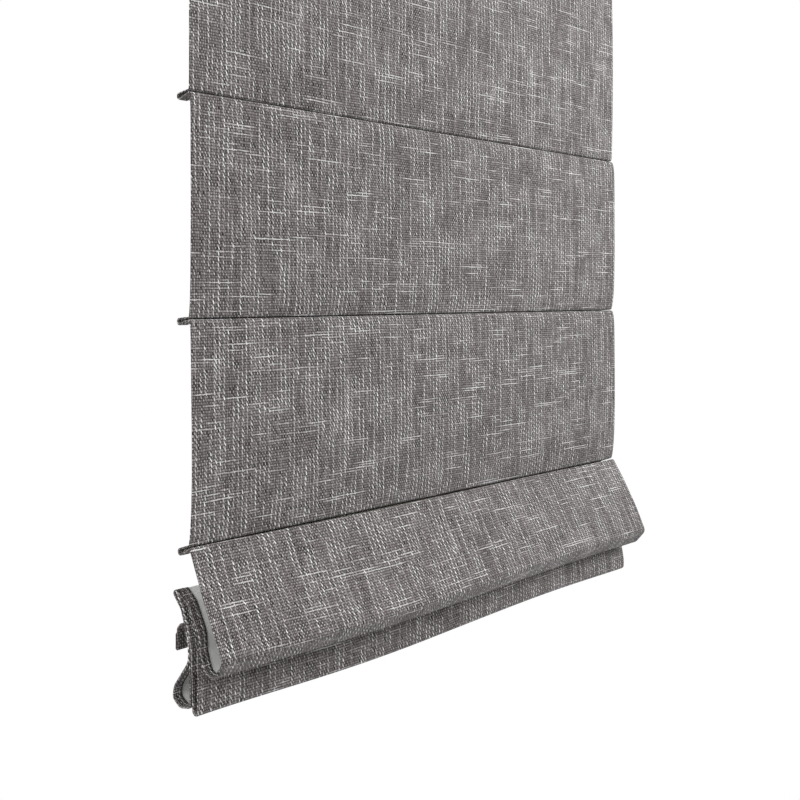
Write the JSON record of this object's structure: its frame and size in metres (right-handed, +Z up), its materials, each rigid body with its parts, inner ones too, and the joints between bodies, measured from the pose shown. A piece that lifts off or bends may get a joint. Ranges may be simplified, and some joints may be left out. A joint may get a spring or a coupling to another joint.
{
  "type": "roman blind",
  "caption": "Lined fabric roman blind, partly raised into soft folds, on a cordless spring headrail with wall brackets.",
  "frame": {"origin": "centre of the four wall screw holes, on the wall plane behind the headrail", "axes": "+X to the right along the blind's width, +Y into the wall, +Z up"},
  "size_m": [0.9, 0.1198, 1.0638],
  "materials": {
    "face_fabric": "coarse slub weave, matt",
    "lining_fabric": "smooth sateen lining, matt",
    "rail_metal": "powder coated white, satin",
    "bar_metal": "plain",
    "bracket_steel": "zinc plated",
    "screw_steel": "zinc plated",
    "shaft_steel": "bright drawn",
    "spring_steel": "blued strip",
    "white_plastic": "moulded, matt",
    "grey_plastic": "moulded, matt",
    "tape_fabric": "woven hook and loop",
    "cord_fabric": "braided, matt",
    "rod_plastic": "glass fibre, smooth",
    "ring_plastic": "clear moulded"
  },
  "bodies": {
    "blind": {"headrail": "rail_metal", "end_cap_left": "white_plastic", "end_cap_right": "white_plastic", "bracket_left": "bracket_steel", "bracket_right": "bracket_steel", "clamp_plate_left": "bracket_steel", "clamp_plate_right": "bracket_steel", "clamp_screw_left": "screw_steel", "clamp_screw_right": "screw_steel", "hook_tape": "tape_fabric", "loop_tape": "tape_fabric", "face_cloth": "face_fabric", "lining": "lining_fabric", "rod_1": "rod_plastic", "rod_2": "rod_plastic", "rod_3": "rod_plastic", "rod_4": "rod_plastic", "rod_5": "rod_plastic", "bottom_bar": "bar_metal", "tuck_rings_1": "ring_plastic", "tuck_rings_2": "ring_plastic", "tuck_rings_3": "ring_plastic", "tuck_rings_4": "ring_plastic", "tuck_rings_5": "ring_plastic", "hem_rings": "ring_plastic", "lift_cord_left": "cord_fabric", "lift_cord_middle": "cord_fabric", "lift_cord_right": "cord_fabric", "spool_cradle_left": "grey_plastic", "spool_cradle_middle": "grey_plastic", "spool_cradle_right": "grey_plastic", "spring_housing": "grey_plastic", "spring_cover": "grey_plastic", "cover_screws": "screw_steel", "mainspring": "spring_steel"},
    "lift_shaft": {"drive_shaft": "shaft_steel", "cord_spool_left": "white_plastic", "cord_spool_middle": "white_plastic", "cord_spool_right": "white_plastic", "cord_winding_left": "cord_fabric", "cord_winding_middle": "cord_fabric", "cord_winding_right": "cord_fabric", "spring_arbor": "white_plastic"}
  },
  "joints": [
    {"name": "lift_shaft_spin", "type": "hinge", "parent": "blind", "child": "lift_shaft", "pos_m": [0, -0.028, -0.0026], "axis": [1, 0, 0], "range_deg": [-4020, 4500]}
  ]
}
